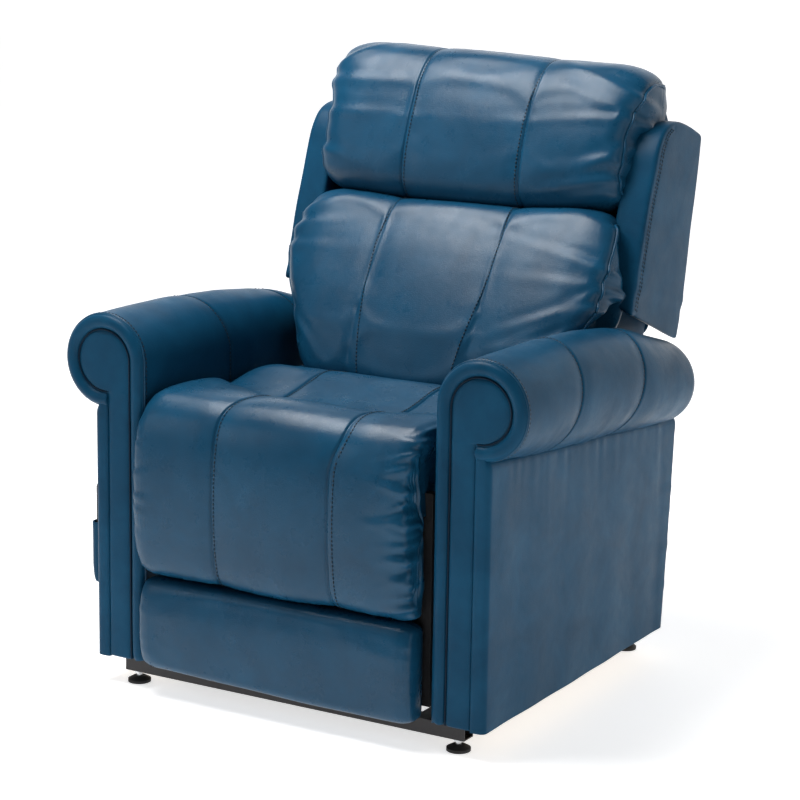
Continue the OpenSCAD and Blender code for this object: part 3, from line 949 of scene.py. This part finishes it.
# ------------------------------------------------------------------ arms
# the roll's top, underside and half width along y
TOPZ = ([-.42, -.20, -.082, .07, .157, .244, .260, .272, .280, .2835],
        [.645, .649, .642, .626, .602, .579, .571, .560, .546, .528])
BOTZ = ([-.42, -.352, -.20, -.087, .03, .153, .240, .258, .271, .280, .2835],
        [.487, .482, .468, .461, .454, .442, .431, .433, .443, .462, .487])
RXY = ([-.42, -.05, .19, .235, .258, .272, .2835], [.079, .079, .0785, .075, .064, .048, .018])


def slant(y):
    """How far the roll's cross seams lean back over its top."""
    return np.interp(y, [-.4195, -.38, -.186, .060, .17, .25], [0, -.004, -.036, -.045, -.030, 0])


def row_values():
    """The roll's stations along y, closer together at its seams and its front edge."""
    ys = finer_at(list(np.linspace(-.4195, .20, 84)) + list(np.linspace(.208, .2835, 15)), ROLL_SEAMS)
    return np.array(sorted(set(np.round(ys + [-.4185, -.4165, -.4135, -.4095], 5))))


ROWY = row_values()


def arm_roll():
    """The padded roll with the arm's inner face: a P section, sewn across twice, rounded at its rear end."""
    na, nd = 58, 16
    ang = np.radians(np.linspace(180, -88, na))
    ys = ROWY
    nv = na + nd + 12
    G = np.zeros((len(ys), nv, 3))
    th = np.zeros((len(ys), nv))
    for i, y in enumerate(ys):
        zt, zb, rx = np.interp(y, *TOPZ), np.interp(y, *BOTZ), np.interp(y, *RXY)
        cz, rz = (zt + zb) / 2, (zt - zb) / 2
        px, pz = RX + rx * np.cos(ang), cz + rz * np.sin(ang)
        # inner face falls straight to the seat
        zl = .446 if y < .20 else .446 + (cz - .446) * ease(y, .20, .283)
        xl = px[0]
        dz = np.linspace(zl, pz[0], nd, endpoint=False)
        qx = np.concatenate([np.full(nd, xl), px])
        qz = np.concatenate([dz, pz])
        qa = np.concatenate([np.full(nd, math.pi), ang])
        # hidden underside, a curve from the roll's neck back to the foot of the inner face
        a, b, c = np.array([[qx[-1], qz[-1]], [xl + .05, zb + .02], [xl + .012, zl + .004]])
        cl = np.array([(1 - k) ** 2 * a + 2 * k * (1 - k) * b + k * k * c for k in np.linspace(0, 1, 13)[1:]])
        G[i, :, 0] = np.concatenate([qx, cl[:, 0]])
        G[i, :, 2] = np.concatenate([qz, cl[:, 1]])
        th[i] = np.concatenate([qa, np.zeros(12)])
        turn = np.concatenate([qa, np.linspace(ang[-1], math.pi, 12)])
        G[i, :, 1] = y + slant(y) * (1 - turn / (math.pi / 2))
    N = out_normals(G)
    y0 = np.repeat(ys[:, None], nv, 1)
    fm = np.zeros(nv)
    fm[1:nd + na - 1] = 1
    d = seam_dents(y0, fm, .0032, .024, .0024, ROLL_SEAMS)
    d += fm * .0013 * vnoise(G, 9, 61)
    # gathers where the roll is drawn down under its outer side
    r = np.random.RandomState(9)
    folds = pulls(r, 15, -.40, .60, y0, th + .9, (-.02, .02), (.0004, .0016), .010)
    d += fm * folds * np.exp(-np.clip(th + 1.25, 0, 9) / .40)
    G = G + N * d[..., None]
    return G, out_normals(G), nd, na


AG, AN, and_, ana = arm_roll()
pair(closed_obj("arm_roll_cover_left", AG, LEATHER_ARM), "chassis", "arm_roll_left")


def row_path(ys):
    """Points and normals of a stitch row across the roll at ys."""
    i = int(np.argmin(np.abs(ROWY - ys)))
    j = slice(2, and_ + ana - 3)
    return AG[i, j] + AN[i, j] * .0004, AN[i, j]


rows = [row_path(y) for y in (ROLL_SEAMS[0] - .006, ROLL_SEAMS[1] - .006, -.4095)]
pair(stitch_path(rows, "arm_roll_stitches_left"), "chassis", ())


def side_wrap():
    """Leather stretched round the arm's outer side: a strip of the front, the whole side and the rear end."""
    xo = AOUT + .0006
    front = ((.3530, .006), (.3535, .0005), (.3560, -.0012), (.3640, -.0016), (.3700, -.0012))
    yr = ([.048, .243, .400, .487], [.260, .2755, .2855, .2895])
    zs = np.concatenate([[.0470, .0478, .0492], np.linspace(.052, .484, 60), [.487, .490, .494]])
    rows = []
    for z in zs:
        yb = np.interp(z, *yr)
        path = [(x, YF + y) for x, y in front]
        for a in np.radians(np.linspace(-80, -6, 7)):
            path.append((xo - .0095 + .0095 * math.cos(a), YF + .0085 + .0095 * math.sin(a)))
        for t in np.linspace(.02, .98, 70):
            path.append((xo, YF + .009 + (yb - YF - .009) * t))
        for a in np.radians(np.linspace(4, 86, 7)):
            path.append((xo - .0100 + .0100 * math.cos(a), yb - .0100 + .0100 * math.sin(a)))
        yi = min(yb, .262)
        for t in np.linspace(.1, 1, 14):
            path.append((xo - .010 - (xo - .010 - AIN - .004) * t, yb + (yi - yb) * t))
        rows.append(path)
    G = np.array([[(x, y, z) for x, y in row] for row, z in zip(rows, zs)])
    zt = np.interp(G[..., 1], *BOTZ) + .010
    zt = np.where(G[..., 1] > .235, .441, zt)
    t = (G[..., 2] - .047) / (.494 - .047)
    G[..., 2] = .047 + (zt - .047) * t
    # the top edge tucks in under the roll
    tuck = ease(t, .960, 1.0)
    side = (G[..., 0] > .372) * 1.0
    G[..., 0] -= tuck * .010 * side
    Nn = unit(np.cross(np.gradient(G, axis=1), np.array([0, 0, 1.0])))
    if ((G - np.array([.33, -.1, 0])) * Nn)[..., :2].sum() < 0:
        Nn = -Nn
    y, z = G[..., 1], G[..., 2]
    s = ease(G[..., 0], .374, .378) * ease(y, YF + .012, YF + .05) * (1 - ease(y, .22, .25))
    d = s * .0026
    for a in ((y + .40) / .65, (z - .05) / .43):
        d = d * np.sin(np.clip(a, 0, 1) * math.pi)
    d += s * .0016 * vnoise(G * np.array([1, 1, .35]), 12, 8)
    r = np.random.RandomState(14)
    for k in range(24):
        yy = -.40 + .65 * (k + r.uniform(0, 1)) / 24
        line = (y - yy) + r.uniform(-.10, .10) * (z - .48)
        pull = r.uniform(.0004, .0017) * (gauss(line, .007) - .7 * gauss(line - .012, .008))
        d += s * pull * np.exp(-np.clip(zt - .008 - z, 0, 1) / r.uniform(.02, .06))
    # the rear corner pulls into small folds
    folds = pulls(r, 7, .09, .38, z, y - .25, (-.3, .3), (.0004, .0012), .008)
    d += ease(y, .20, .26) * ease(G[..., 0], .36, .378) * folds
    G = G + Nn * d[..., None]
    return G


def sheet_obj(name, G, mat):
    """An open grid given the leather's thickness."""
    o = new_mesh(name, G.reshape(-1, 3), grid_faces(G.shape[0], G.shape[1], close_v=False), mat)
    thicken(o, .0016)
    subdiv(o)
    return o


def turn_out(o, c):
    """Turns the faces of an open sheet away from c."""
    s = 0.0
    for p in o.data.polygons:
        s += (Vector(p.center) - Vector(c)).dot(p.normal) * p.area
    if s < 0:
        o.data.flip_normals()


side_cover = sheet_obj("arm_side_cover_left", side_wrap(), LEATHER_ARM)
turn_out(side_cover, (.33, -.08, .27))
pair(side_cover, "chassis", "arm_outer_panels")

P = fillet([(-417, 48, 6), (257, 48, 6), (262, 200, 60), (262, 420, 20), (215, 452, 30), (80, 470, 60),
            (-417, 470, 6)], 170)
G = pillow(P, np.linspace(-.004, .004, 5), .004, .003, (-.08, .26), ncap=18, bulge=.0006, r_len=.004)[0]
G[..., 0] += AIN + .0045
pair(closed_obj("arm_inner_cover_left", G, LEATHER_ARM), "chassis", "arm_inner_panels")


def band_path(off, z0=.0475):
    """Up the front's inner edge, round the roll and back to the neck, inset by off."""
    R = RR - off
    pts = [(RX - R, z) for z in np.linspace(z0, RZ, 60, endpoint=False)]
    pts += [(RX + R * math.cos(t), RZ + R * math.sin(t)) for t in np.linspace(math.pi, math.radians(-97), 90)]
    return np.array(pts)


def arm_band():
    """Padded band framing the arm front."""
    prof = [(.0004, .0130), (.0000, .0080), (.0004, .0030), (.0022, -.0012), (.0055, -.0040), (.0105, -.0058),
            (.0155, -.0054), (.0205, -.0030), (.0238, .0010), (.0252, .0050), (.0258, .0100), (.0200, .0135),
            (.0100, .0140)]
    G = np.zeros((len(band_path(0)), len(prof), 3))
    for k, (off, yy) in enumerate(prof):
        G[:, k, [0, 2]] = band_path(off)
        G[:, k, 1] = YF + yy
    hem = np.exp(-np.clip(G[..., 2] - .0475, 0, 1) / .005) * (G[..., 0] < .32)
    G[..., 1] += .005 * hem
    G[..., 1] += .0007 * vnoise(G, 14, 12)
    # small gathers round the inside of the curve
    r = np.random.RandomState(33)
    ang = np.arctan2(G[..., 2] - RZ, G[..., 0] - RX)
    rad = np.hypot(G[..., 0] - RX, G[..., 2] - RZ)
    inside = np.exp(-np.clip(rad - .052, 0, 1) / .010) * (G[..., 2] > .49)
    for _ in range(13):
        a0 = r.uniform(-1.6, 3.0)
        G[..., 1] -= r.uniform(.0002, .0009) * gauss(ang - a0, .05) * inside
    return G


pair(closed_obj("arm_front_band_left", arm_band(), LEATHER_ARM), "chassis", "arm_front_left")


def arm_inset():
    """P-shaped padded inset inside the band."""
    R, xl, xr, nx = .0515, RX - .0515, .3530, 13
    zn = RZ - R * math.sin(math.acos((xr - RX) / R))
    bow = RZ - R * np.cos(np.linspace(math.asin(min(1, (xr - RX) / -R)) + .10, math.pi - .10, 44))
    zs = np.concatenate([[.0480, .0490, .0505], np.linspace(.053, zn - .003, 60),
                         [zn - .001, zn, zn + .0012, zn + .003], bow, [RZ + R - .0001]])
    zs = np.array(sorted(set(np.round(zs, 5))))
    u = (1 - np.cos(np.linspace(0, math.pi, nx))) / 2
    front, back = [], []
    for z in zs:
        c = math.sqrt(max(R * R - (z - RZ) ** 2, 0))
        a = xl if z <= RZ else RX - c
        w = max((xr if z < zn else RX + c) - a, .0004)
        h = .0042 * np.clip(1 - np.abs(2 * u - 1) ** 4, 0, 1) ** .5 * min(1, w / .02)
        e = min(1, (zs[-1] - z) / .010)
        h = h * (1 - (1 - e) ** 2)
        e2 = min(1, (z - zs[0]) / .004)
        front.append(np.column_stack([a + w * u, YF + .0026 - h + .004 * (1 - e2) ** 2, np.full(nx, z)]))
        back.append(np.column_stack([a + w * u[::-1], np.full(nx, YF + .009), np.full(nx, z)]))
    G = np.concatenate([np.array(front), np.array(back)], 1)
    G[:, :nx, 1] += .0005 * vnoise(G[:, :nx], 15, 19)
    return G


def band_welt(name, off, z0, depth, r, mat):
    """A welt along the band's line, inset by off, at depth behind the arm's front face."""
    K = band_path(off, z0)
    pts = np.column_stack([K[:, 0], np.full(len(K), YF + depth), K[:, 1]])
    pair(tube_path(pts, r, name, mat), "chassis", ())


inset = closed_obj("arm_front_inset_left", arm_inset(), LEATHER_ARM)
pair(inset, "chassis", "arm_front_insets")
# board behind the band and inset, a real piping welt between them in near-black leather that paints the shadow
# of the groove there, and a welt on the roll's front edge
K = fillet([(285, 48, 3), (376, 48, 3), (376, 490, 3), (285, 560, 3)], 120)
G = pillow(K, np.linspace(-.003, .003, 4), .003, .001, (.33, .30), ncap=8, bulge=.0002, r_len=.002)[0]
pair(closed_obj("arm_front_backing_left", standing(YF + .0125)(G), LEATHER_DK), "chassis", ())
band_welt("arm_front_piping_left", .0264, .0495, .0012, .0017, LEATHER_GAP_SHADE)
band_welt("arm_front_welt_left", .0004, .0475, .0078, .0024, LEATHER)


# ------------------------------------------------------------------ handset, pocket, rear covers
def soft_box(name, x, y, z, r, mat, seg=4):
    """Closed box with rounded edges. x, y and z are its two limits each way."""
    lo, hi = np.array([x, y, z]).T
    me = bpy.data.meshes.new(name)
    b = bmesh.new()
    bmesh.ops.create_cube(b, size=1)
    for v in b.verts:
        v.co = Vector((lo + hi) / 2 + np.array(v.co) * (hi - lo))
    bmesh.ops.bevel(b, geom=list(b.edges), offset=r, segments=seg, profile=.5, affect="EDGES")
    b.to_mesh(me)
    b.free()
    me.materials.append(mat)
    me.polygons.foreach_set("use_smooth", [True] * len(me.polygons))
    return link(name, me)


def pocket_cover():
    """Slack leather pocket: a band round three sides and the bottom, open at the top, with a turned hem."""
    x0, x1, y0, y1, z0, z1 = -.4090, -.3792, -.400, -.298, .162, .275
    R = .012
    path = []
    for t in np.linspace(0, 1, 8):
        path.append((x1 + (x0 + R - x1) * t, y0))
    for a in np.linspace(-math.pi / 2, -math.pi, 7)[1:]:
        path.append((x0 + R + R * math.cos(a), y0 + R + R * math.sin(a)))
    for t in np.linspace(0, 1, 26)[1:]:
        path.append((x0, y0 + R + (y1 - y0 - 2 * R) * t))
    for a in np.linspace(math.pi, math.pi / 2, 7)[1:]:
        path.append((x0 + R + R * math.cos(a), y1 - R + R * math.sin(a)))
    for t in np.linspace(0, 1, 8)[1:]:
        path.append((x0 + R + (x1 - x0 - R) * t, y1))
    path = resample(np.array(path), 60)
    zs = sorted(list(np.linspace(z0 + .004, z1, 26)) + [z1 - .0115, z1 - .0125, z1 - .0135])
    G = np.zeros((len(zs), len(path), 3))
    for i, z in enumerate(zs):
        w = math.exp(-(max(0, z - z0) / .010))
        G[i] = np.column_stack([path[:, 0] + (x1 - path[:, 0]) * .40 * w, path[:, 1], np.full(len(path), z)])
    front = np.clip((-.4065 - G[..., 0]) / .002, 0, 1)
    d = .0010 * vnoise(G, 26, 71)
    d += .0012 * gauss(G[..., 2] - z1 + .006, .005)
    d -= .0016 * gauss(G[..., 2] - z1 + .0128, .0014)
    # slack folds towards the bottom corners
    for yy, lean in ((-.378, -.35), (-.352, .35), (-.330, -.35)):
        d += .0016 * gauss((G[..., 1] - yy) + lean * (G[..., 2] - .20), .008) * gauss(G[..., 2] - .195, .03)
    G[..., 0] -= np.clip(d, -.002, .0030) * front
    return G


PG = pocket_cover()
nu, nv = PG.shape[:2]
F = grid_faces(nu, nv, close_v=False) + zip_cap(0, nv, False)
pocket = new_mesh("pocket_cover", PG.reshape(-1, 3), F, LEATHER_ARM)
bmesh_fix(pocket)
thicken(pocket, .0024)
subdiv(pocket)
done(pocket, "chassis", "handset_pocket")
hem = int(np.argmin(np.abs(PG[:, 0, 2] - (.275 - .0128))))
pts = PG[hem, 10:nv - 10] - np.array([.0012, 0, 0])
out = np.tile([-1.0, 0, 0], (len(pts), 1))
done(stitch_path([(pts, out)], "pocket_stitches", .0036, .0022, .0007, .0006), "chassis", ())

shell = soft_box("handset_shell", (-.404, -.383), (-.393, -.345), (.170, .342), .0062, PLAST)
done(shell, "chassis", "handset_body")
face_mat = plain("handset_face", (.055, .056, .060), .35, 0, .1, 90, .15, .0002, 1500)
face = soft_box("handset_face", (-.4049, -.4020), (-.3885, -.3495), (.280, .3365), .0012, face_mat, 2)
done(face, "chassis", ())


def shell_panel(name, pts, thick, place, seed, amp):
    """Upholstered board with the outline pts (across, up, corner radius) in mm, put in the model by place."""
    P = fillet(pts, 120)
    half = thick / 2
    G = pillow(P, np.linspace(-half, half, 4), half, .004, P.mean(0), ncap=14, bulge=amp, r_len=half)[0]
    G = G + out_normals(G) * (amp * .6 * vnoise(G, 12, seed))[..., None]
    return closed_obj(name, place(G), LEATHER_DK)


def in_back(G):
    """Puts a panel upright in the back, at its rear."""
    return to_back(standing(.2105)(G))


def at_side(x):
    """Puts a panel's (thickness, depth, up) in the back, x from the middle."""
    return lambda G: to_back(G + np.array([x, 0, 0]))


BO = [(-298.5, 343, 16), (-298.5, 0, 10), (-268, -8, 8), (-268, -150, 14), (268, -150, 14), (268, -8, 8),
      (298.5, 0, 10), (298.5, 343, 16)]
back_panel = shell_panel("back_outer_cover", BO, .0085, in_back, 51, .0018)
done(back_panel, "back", "back_outer_panel")


def top_slope():
    """Leather over the slanted top of the backrest, from the outer panel up to the head pillow."""
    ns = 22
    X = np.linspace(-.288, .288, 60)
    G = np.zeros((ns * 2, len(X), 3))
    for i, t in enumerate(np.linspace(0, 1, ns)):
        y = .212 + (.098 - .212) * t
        z = .338 + (.430 - .338) * t
        bow = .008 * math.sin(math.pi * t)
        for j, x in enumerate(X):
            e = max(0, (abs(x) - .24) / .05)
            G[i, j] = (x * (1 - .07 * t * t), y + bow * .6 - .010 * e * e, z + bow - .018 * e * e)
            G[2 * ns - 1 - i, j] = (x * (1 - .07 * t * t), y - .024 - bow * .2, z - .040)
    d = .0018 * vnoise(G, 13, 66)
    G[:ns, :, 2] += d[:ns]
    return to_back(G)


done(closed_obj("back_top_cover", np.transpose(top_slope(), (1, 0, 2))), "back", ())

# the sides of the backrest, between the wings and the outer panel
SIDE = [(22, -24, 6), (208, -24, 6), (208, 338, 8), (112, 402, 14), (60, 402, 10), (60, 20, 6), (22, 20, 6)]
SIDE_LOW = [(106, -149, 8), (208, -149, 6), (208, -2, 4), (106, -2, 4)]
for name, x, outline in (("back_side_cover", .2920, SIDE), ("back_side_cover_low", .2600, SIDE_LOW)):
    pair(shell_panel(name + "_left", outline, .005, at_side(x), 57, .0010), "back", ())

# the cloth that closes the gap between the seat and the back
t = np.linspace(0, 1, 22)
a0, a1 = np.array([.066, .448]), np.array([.1405, .5316])
tn = (a1 - a0) / np.linalg.norm(a1 - a0)
nr = np.array([tn[1], -tn[0]])
mid = a0 + t[:, None] * (a1 - a0) + .012 * np.sin(math.pi * t)[:, None] * nr
loop = np.concatenate([mid - nr * .0015, (mid + nr * .0015)[::-1]])
X = np.linspace(-.250, .250, 40)
G = np.zeros((len(X), len(loop), 3))
G[..., 0] = X[:, None]
G[..., 1:] = loop[None]
d = .0018 * vnoise(G, 14, 91) * np.sin(math.pi * np.concatenate([t, t[::-1]]))
G[..., 1:] += d[..., None] * nr
gc = closed_obj("seat_back_gap_cloth", G, LEATHER_DK, 0)
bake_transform(gc)


AP = [(-289, 259, 8), (-289, 53, 8), (289, 53, 8), (289, 259, 8)]
apron = shell_panel("rear_apron_cover", AP, .0055, standing(.2608), 52, .0012)
done(apron, "chassis", "rear_apron")

# ------------------------------------------------------------------ stage, light, camera
sc = bpy.context.scene
sc.view_settings.view_transform = "Standard"
w = bpy.data.worlds.new("world")
sc.world = w
w.use_nodes = True
w.node_tree.nodes["Background"].inputs[0].default_value = (1, 1, 1, 1)
w.node_tree.nodes["Background"].inputs[1].default_value = .09


def area(name, loc, tgt, size, power, size_y):
    """A rectangular softbox at loc that faces tgt."""
    l = bpy.data.lights.new(name, "AREA")
    l.energy = power
    l.shape = "RECTANGLE"
    l.size = size
    l.size_y = size_y
    o = link(name, l)
    o.location = loc
    o.rotation_euler = (Vector(tgt) - Vector(loc)).to_track_quat("-Z", "Y").to_euler()


area("softbox_top", (-.72, -.42, 2.75), (0, -.12, .5), 1.7, 84, 1.2)
area("softbox_left", (-2.2, -2.4, 1.7), (0, 0, .6), 1.2, 11, 1.6)
area("softbox_right", (2.9, -1.2, 1.6), (0, 0, .55), 1.3, 8, 1.7)

floor_m, nt, b = nodes_of("floor_white")
n = noise_tex(nt, 3, 2, .5)
r = ramp(nt, n.outputs["Fac"], [(.3, (.90, .90, .905)), (.7, (.93, .93, .935))])
nt.links.new(r.outputs[0], b.inputs["Base Color"])
b.inputs["Roughness"].default_value = .6
b.inputs["Specular IOR Level"].default_value = .25
b.inputs["Emission Color"].default_value = (1, 1, 1, 1)
b.inputs["Emission Strength"].default_value = .66
rs = np.linspace(0, math.pi / 2, 12)
# a ground that sweeps up behind the chair
sweep = [(3.2 + 1.6 * math.sin(a), 1.6 - 1.6 * math.cos(a)) for a in rs[1:]]
prof = [(-24, 0), (3.2, 0)] + sweep + [(4.8, 6)]
V = [(x, y, z) for x in (-24, 24) for y, z in prof]
floor = new_mesh("floor", V, grid_faces(2, len(prof), close_v=False, flip=True), floor_m)

cam = bpy.data.cameras.new("camera")
sc.camera = link("camera", cam)
C = Vector((2.0297, -3.5389, 1.3275))
T = Vector((.0339, -.1062, .5055))
fw = (T - C).normalized()
rt = fw.cross(Vector((0, 0, 1))).normalized()
up = rt.cross(fw).normalized()
ro = math.radians(.9)
cr, sr = math.cos(ro), math.sin(ro)
rt, up = rt * cr + up * sr, up * cr - rt * sr
M = Matrix((rt, up, -fw)).transposed().to_4x4()
M.translation = C
sc.camera.matrix_world = M
cam.sensor_width = 36
cam.lens = 106.16
cam.shift_y = -.0108
